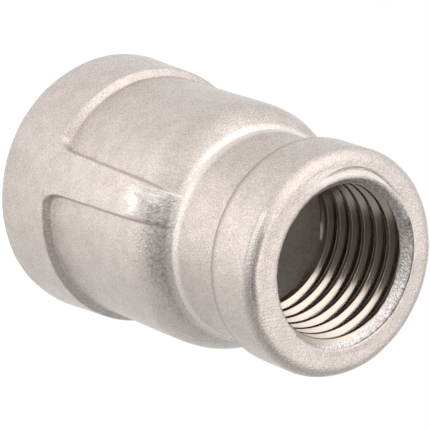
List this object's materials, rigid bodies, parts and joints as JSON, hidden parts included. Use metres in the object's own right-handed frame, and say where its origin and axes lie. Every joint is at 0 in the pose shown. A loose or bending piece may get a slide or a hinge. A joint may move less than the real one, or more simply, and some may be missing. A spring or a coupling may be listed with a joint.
{
  "type": "pipe coupling",
  "caption": "Straight reducing pipe coupling, cast in stainless steel, with a banded internally threaded socket at each end, a rounded shoulder and raised ribs along its barrel.",
  "frame": {"origin": "middle of the large end face, on the coupling's axis; the coupling stands on this face", "axes": "+Z along the axis from the large end to the small end; -Y through the rib that has the ground casting gate; +X completes a right-handed frame"},
  "size_m": [0.0212, 0.0212, 0.0307],
  "materials": {
    "cast_steel": "shot-blasted investment-cast stainless steel, matte warm grey, with glossy machined threads"
  },
  "bodies": {
    "root": {"coupling_body": "cast_steel"}
  },
  "joints": []
}
